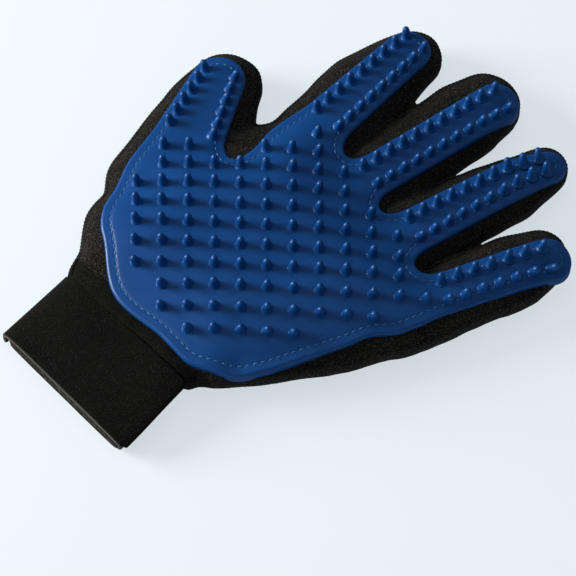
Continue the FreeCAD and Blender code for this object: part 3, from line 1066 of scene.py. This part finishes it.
PER_METRE = 1000.0
# colour laid over the marked mouth ends of the cuff and strap bands, lighter than the knit
MOUTH_END_COLOR = (0.13, 0.125, 0.115)


def rubber_material():
    """Satin moulded rubber with a fine grain and faint clouding."""
    n = Nodes("pad_rubber")
    cloud = n.noise(0.03 * PER_METRE, 4.0, 0.6)
    grain = n.noise(3.4 * PER_METRE, 2.0, 0.6)
    color = n.ramp(cloud, [(0.3, (0.0014, 0.050, 0.205)), (0.7, (0.0024, 0.067, 0.262))])
    speck = n.ramp(grain, [(0.45, (0.9, 0.92, 0.94)), (0.75, (1.4, 1.3, 1.2))])
    color = n.mix(1.0, color, speck, "MULTIPLY")
    rough = n.math("MULTIPLY", cloud, 0.14)
    rough = n.math("ADD", rough, 0.31)
    normal = n.bump(grain, 0.25, 0.12)
    return n.finish(color, normal, rough, Specular_IOR_Level=0.42)


def knit_material(name, dark, light, loop_scale, depth):
    """Knit cloth: small loops, lint and slightly worn highlights."""
    n = Nodes(name)
    # the 'edge' attribute marks the bands' ends at the mouth, which are coloured lighter
    cut = n.add("ShaderNodeAttribute", attribute_name="edge")
    broad = n.noise(0.05 * PER_METRE, 3.0)
    loops = n.cells(loop_scale * PER_METRE, 0.6)
    fine = n.noise(3.4 * PER_METRE, 3.0, 0.7)
    lint = n.noise(0.8 * PER_METRE, 5.0, 0.8)
    height = n.math("ADD", n.math("MULTIPLY", loops, -1.0), n.math("MULTIPLY", fine, 0.6))
    middle = tuple((a * 2 + b) / 3 for a, b in zip(dark, light))
    color = n.ramp(fine, [(0.38, dark), (0.58, middle), (0.8, light)])
    tone = n.ramp(lint, [(0.38, (0.55, 0.55, 0.56)), (0.72, (1.7, 1.65, 1.58))])
    color = n.mix(1.0, color, tone, "MULTIPLY")
    patches = n.ramp(broad, [(0.35, (0.8, 0.8, 0.81)), (0.75, (1.25, 1.23, 1.2))])
    color = n.mix(1.0, color, patches, "MULTIPLY")
    bright = tuple(1.6 * c for c in light)
    specks = n.ramp(n.noise(2.2 * PER_METRE, 1.0, 0.5), [(0.58, (0, 0, 0)), (0.72, bright)])
    color = n.mix(1.0, color, specks, "ADD")
    # the marked mouth ends take the lighter colour
    color = n.mix(n.math("MULTIPLY", cut.outputs["Fac"], 0.8), color, MOUTH_END_COLOR)
    normal = n.bump(height, 1.0, depth)
    return n.finish(color, normal, 0.85, Sheen_Weight=0.03, Sheen_Roughness=0.5,
                    Specular_IOR_Level=0.05)


def thread_material():
    """Twisted pale blue thread."""
    n = Nodes("thread")
    twist = n.noise(2.5 * PER_METRE, 2.0)
    color = n.ramp(twist, [(0.3, (0.02, 0.11, 0.30)), (0.75, (0.05, 0.19, 0.42))])
    normal = n.bump(twist, 0.4, 0.1)
    return n.finish(color, normal, 0.55)


def floor_material():
    """Pale matt backdrop."""
    n = Nodes("floor")
    haze = n.add("ShaderNodeTexNoise")
    haze.inputs["Scale"].default_value = 2.0
    color = n.ramp(haze.outputs["Fac"], [(0.3, (0.30, 0.32, 0.325)), (0.7, (0.315, 0.33, 0.335))])
    normal = n.bump(haze.outputs["Fac"], 0.0, 0.1)
    return n.finish(color, normal, 1.0, Emission_Color=(0.84, 0.92, 0.97),
                    Emission_Strength=FLOOR_GLOW, Specular_IOR_Level=0.0)


# ---- building the glove ------------------------------------------
def build_shell(material, wrist_material):
    """The knit pieces; gives back the cloth's surface, on which the pad lies."""
    shell = shell_form()
    verts, faces = mesh_arrays(shell)
    bpy.data.objects.remove(shell)
    surface = Surface(verts, faces)
    cloth_faces = len(faces)
    ridge_verts, ridge_faces = seam_ridge(verts, faces)
    verts, faces = join_forms([(list(verts), faces), (ridge_verts, ridge_faces)])
    verts = np.array(verts)
    normals = whole_normals(verts, faces)
    along = (face_centres(verts, faces)[:, :2] - WRIST_AT) @ WRIST_Y
    wrist = np.flatnonzero((along < WRIST_CUTS[0]) & (along > WRIST_CUTS[1]))
    hand = np.flatnonzero(along >= WRIST_CUTS[0])
    sleeve = sub_mesh("shell_wrist", verts, faces, normals, wrist)
    dress(sleeve, wrist_material)
    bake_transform(sleeve)
    hand_verts, hand_faces = compact(verts, [faces[f] for f in hand])
    used = sorted({v for f in hand for v in faces[f]})
    split_and_ride("shell", hand_verts, hand_faces, normals[used], face_centres(hand_verts, hand_faces),
                   material, ["palm_panel", "back_panel"], ["palm_fabric", "back_fabric"],
                   int(np.count_nonzero(hand < cloth_faces)))
    return surface


def build_pad(ground, material, thread):
    outline = pad_outline()
    verts, faces = pad_mesh(outline, ground)
    surface = Surface(verts, faces)
    verts, faces, anchors = add_forms(verts, faces, face_centres(verts, faces), nub_forms(surface))
    split_and_ride("pad", verts, faces, whole_normals(verts, faces), anchors,
                   material, ["palm_pad"], ["pad"])
    stitches = stitch_run(inward_ring(outline, STITCH_LINE), surface)
    verts, faces, anchors = add_forms([], [], [], stitches)
    split_and_ride("stitching", verts, faces, whole_normals(verts, faces), anchors,
                   thread, ["pad_stitching"], [])


def mark_edges(obj, mouth, reach=0.55):
    """Attribute that marks the ends of a band of cloth at the mouth, which its material colours lighter."""
    verts, _ = mesh_arrays(obj)
    offset = verts[:, :2] - WRIST_AT
    x = offset @ WRIST_X
    along = offset @ WRIST_Y / (1 + MOUTH_SLANT * x)
    edge = np.where(along < mouth + reach, 1.0, 0.0)
    values = obj.data.attributes.new("edge", "FLOAT", "POINT")
    values.data.foreach_set("value", edge)


def finish_piece(obj, body, material, slot, *nodes):
    dress(obj, material, nodes)
    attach(obj, body)


def build_cuff(cuff_cloth, strap_cloth, binding, hooks):
    tube = cuff_tube(-KNIT_WALL, 0.0, CUFF_START, -CUFF_LENGTH, CUFF_GRID[1])
    sleeve = new_object("cuff_sleeve", *tube)
    mark_edges(sleeve, -CUFF_LENGTH)
    finish_piece(sleeve, "cuff", cuff_cloth, "cuff_knit", "cuff_palm_panel", "cuff_back_panel")
    outer = -KNIT_WALL - HEM_GAP
    tube = cuff_tube(-KNIT_WALL - HEM_WALL - HEM_GAP, outer, -CUFF_LENGTH + HEM_START,
                     -CUFF_LENGTH - HEM_PROUD, HEM_ROWS)
    finish_piece(new_object("cuff_hem_band", *tube), "cuff", binding, "hem_binding",
                 "cuff_hem", "wrist_elastic")
    columns, rows = PATCH_GRID
    loop_wall, hook_wall = PATCH_WALLS
    angles = section_angles(*[angle_at(x) for x in PATCH_X], columns)
    loops = new_object("loop_patch_pile", *strap_band(angles, PATCH_LIFT, loop_wall, rows, *PATCH_Y))
    finish_piece(loops, "cuff", strap_cloth, "loop_tape", "loop_patch")
    angles = section_angles(*[angle_at(x, STRAP_OVERHANG) for x in PATCH_X], columns, STRAP_OVERHANG)
    band = strap_band(angles, STRAP_CLEARANCE - loop_wall, hook_wall, rows, *PATCH_Y, STRAP_OVERHANG)
    finish_piece(new_object("hook_patch_tape", *band), "strap_tab", hooks, "hook_tape", "hook_patch")
    build_strap(strap_cloth)


def build_strap(cloth):
    """The strap, cut between its two bends into a sewn-on root and a free tab."""
    left = math.radians(STRAP_LEFT)
    right = angle_at(STRAP_RIGHT_X, STRAP_OVERHANG)
    columns, rows = STRAP_GRID
    angles = section_angles(left, right, columns, STRAP_OVERHANG)
    verts, faces = strap_band(angles, STRAP_CLEARANCE, STRAP_WALL, rows, STRAP_START, STRAP_STOP,
                              STRAP_OVERHANG, STRAP_CORNER)
    normals = whole_normals(verts, faces)
    across = (face_centres(verts, faces)[:, :2] - WRIST_AT) @ WRIST_X
    root = sub_mesh("strap_root", verts, faces, normals, np.flatnonzero(across < STRAP_SPLIT_X))
    tab = sub_mesh("strap_pull_tab", verts, faces, normals, np.flatnonzero(across >= STRAP_SPLIT_X))
    dress(root, cloth, ["strap_anchor", "strap_inner_flap"])
    dress(tab, cloth, ["strap_outer_flap"])
    mark_edges(root, STRAP_STOP)
    mark_edges(tab, STRAP_STOP)
    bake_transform(root)
    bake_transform(tab)


# ---- studio ------------------------------------------------------
VIEW_AZIMUTH = 51.5                     # the camera looks this far round from +Y towards -X
VIEW_ELEVATION = 62.0
VIEW_DISTANCE = 1.10
VIEW_TARGET = (0.0018, 0.0742, 0.0)
PIXELS_PER_METRE = 1000 / 0.405         # at the target
FRAME_PIXELS = 576
KEY_POWER = 23
TOP_POWER = 3.5
SKY_STRENGTH = 0.24
FLOOR_GLOW = 0.70                       # lightens the shadows on the backdrop
FLOOR_REACH = 3000
MIRRORED_SKY = 0.08                     # the sky's strength in reflections
TARGET_RISE = 48                        # the target lies this many pixels above the frame's middle


def area_light(name, direction, distance, size, power, color):
    """Round lamp at a distance from the target, turned towards it."""
    light = bpy.data.lights.new(name, "AREA")
    light.shape = "DISK"
    light.size = size
    light.energy = power
    light.color = color
    obj = bpy.data.objects.new(name, light)
    place = Vector(VIEW_TARGET) + Vector(direction).normalized() * distance
    obj.location = place
    obj.rotation_euler = (Vector(VIEW_TARGET) - place).to_track_quat("-Z", "Y").to_euler()
    bpy.context.scene.collection.objects.link(obj)
    return obj


def build_studio():
    azimuth = math.radians(VIEW_AZIMUTH)
    elevation = math.radians(VIEW_ELEVATION)
    away = Vector((-math.sin(azimuth), math.cos(azimuth), 0))
    right = Vector((math.cos(azimuth), math.sin(azimuth), 0))
    back = -away * math.cos(elevation) + Vector((0, 0, math.sin(elevation)))
    camera = bpy.data.objects.new("camera", bpy.data.cameras.new("camera"))
    camera.location = Vector(VIEW_TARGET) + back * VIEW_DISTANCE
    up = back.cross(right)
    turn = Matrix((right, up, back)).transposed().to_4x4()
    camera.matrix_world = Matrix.Translation(camera.location) @ turn
    camera.data.sensor_width = 36
    camera.data.lens = VIEW_DISTANCE * PIXELS_PER_METRE / FRAME_PIXELS * 36
    camera.data.shift_y = -TARGET_RISE / FRAME_PIXELS
    camera.data.clip_end = 20
    bpy.context.scene.collection.objects.link(camera)
    bpy.context.scene.camera = camera

    corners = ((-1, -1), (1, -1), (1, 1), (-1, 1))
    floor = new_object("floor", [(x * FLOOR_REACH, y * FLOOR_REACH, 0) for x, y in corners], [(0, 1, 2, 3)])
    floor.data.materials.append(floor_material())
    floor.visible_glossy = False

    left = Vector((0, 0, 0)) - right
    area_light("key", left + away * 0.2 + Vector((0, 0, 0.38)), 1.2, 0.7, KEY_POWER, (1.0, 0.99, 0.97))
    top = area_light("top", away * 0.2 + Vector((0, 0, 1)), 1.8, 1.4, TOP_POWER, (0.97, 0.99, 1.0))
    top.visible_glossy = False
    world = bpy.data.worlds.new("world")
    world.use_nodes = True
    background = world.node_tree.nodes["Background"]
    background.inputs["Color"].default_value = (0.84, 0.92, 0.98, 1)
    path = world.node_tree.nodes.new("ShaderNodeLightPath")
    strength = world.node_tree.nodes.new("ShaderNodeMapRange")
    strength.inputs["To Min"].default_value = SKY_STRENGTH
    strength.inputs["To Max"].default_value = MIRRORED_SKY
    world.node_tree.links.new(path.outputs["Is Glossy Ray"], strength.inputs["Value"])
    world.node_tree.links.new(strength.outputs["Result"], background.inputs["Strength"])
    bpy.context.scene.world = world
    bpy.context.scene.view_settings.view_transform = "Standard"


def main():
    rubber = rubber_material()
    knit = knit_material("shell_knit", (0.0015, 0.0015, 0.0015), (0.045, 0.041, 0.036), 0.85, 0.6)
    cuff_cloth = knit_material("cuff_knit", (0.0015, 0.0015, 0.0015), (0.02, 0.0185, 0.0165), 1.4, 0.35)
    strap_cloth = knit_material("strap_loop", (0.0008, 0.0008, 0.0008), (0.016, 0.015, 0.0135), 1.8, 0.5)
    binding = knit_material("hem_binding", (0.012, 0.012, 0.012), (0.09, 0.086, 0.08), 2.2, 0.3)
    hooks = knit_material("hook_tape", (0.01, 0.01, 0.011), (0.06, 0.06, 0.062), 1.0, 0.5)
    thread = thread_material()
    surface = build_shell(knit, strap_cloth)
    build_pad(surface, rubber, thread)
    build_cuff(cuff_cloth, strap_cloth, binding, hooks)
    build_studio()


main()
